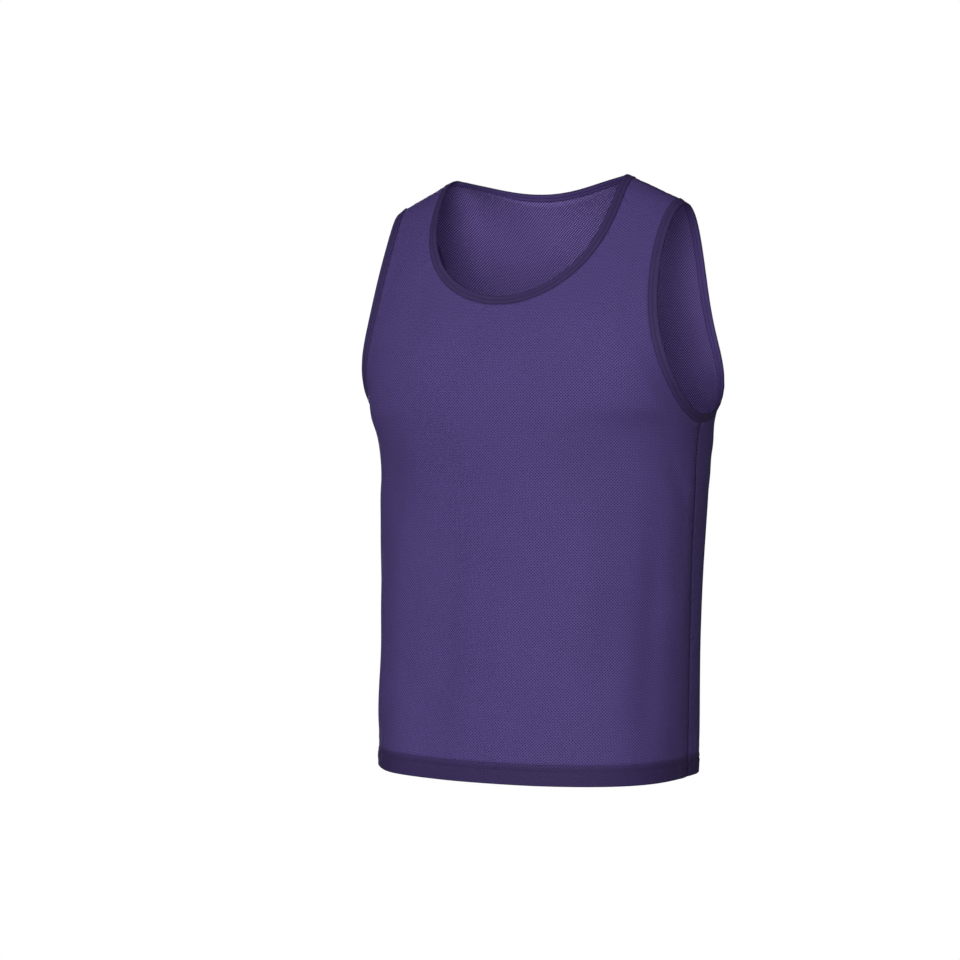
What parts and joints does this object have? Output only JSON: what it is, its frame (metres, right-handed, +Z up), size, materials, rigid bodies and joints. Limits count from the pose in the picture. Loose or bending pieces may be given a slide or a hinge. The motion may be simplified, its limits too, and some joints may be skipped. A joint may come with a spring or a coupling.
{
  "type": "training bib",
  "caption": "Sleeveless mesh training bib that is pulled on over a sports shirt to mark a team, shown filled out and hollow",
  "frame": {"origin": "Midway between the two shoulder straps, level with the neck end of each shoulder seam and in the plane of both seams, where the wearer's shoulders hold the bib up", "axes": "+Z up the standing wearer, +X towards the wearer's left armhole, +Y towards the back panel, so the front panel faces -Y"},
  "size_m": [0.3856, 0.2855, 0.6477],
  "materials": {
    "front_mesh": "matt polyester warp-knit mesh with a fine diagonal lattice of holes, slight sheen",
    "back_mesh": "matt polyester warp-knit mesh with a fine diagonal lattice of holes, slight sheen",
    "neck_tape": "matt plain-knit polyester tape, folded, darker where it is double",
    "left_armhole_tape": "matt plain-knit polyester tape, folded, darker where it is double",
    "right_armhole_tape": "matt plain-knit polyester tape, folded, darker where it is double"
  },
  "bodies": {
    "root": {"front_panel": "front_mesh", "back_panel": "back_mesh", "neck_binding": "neck_tape", "armhole_binding_left": "left_armhole_tape", "armhole_binding_right": "right_armhole_tape"}
  },
  "joints": []
}
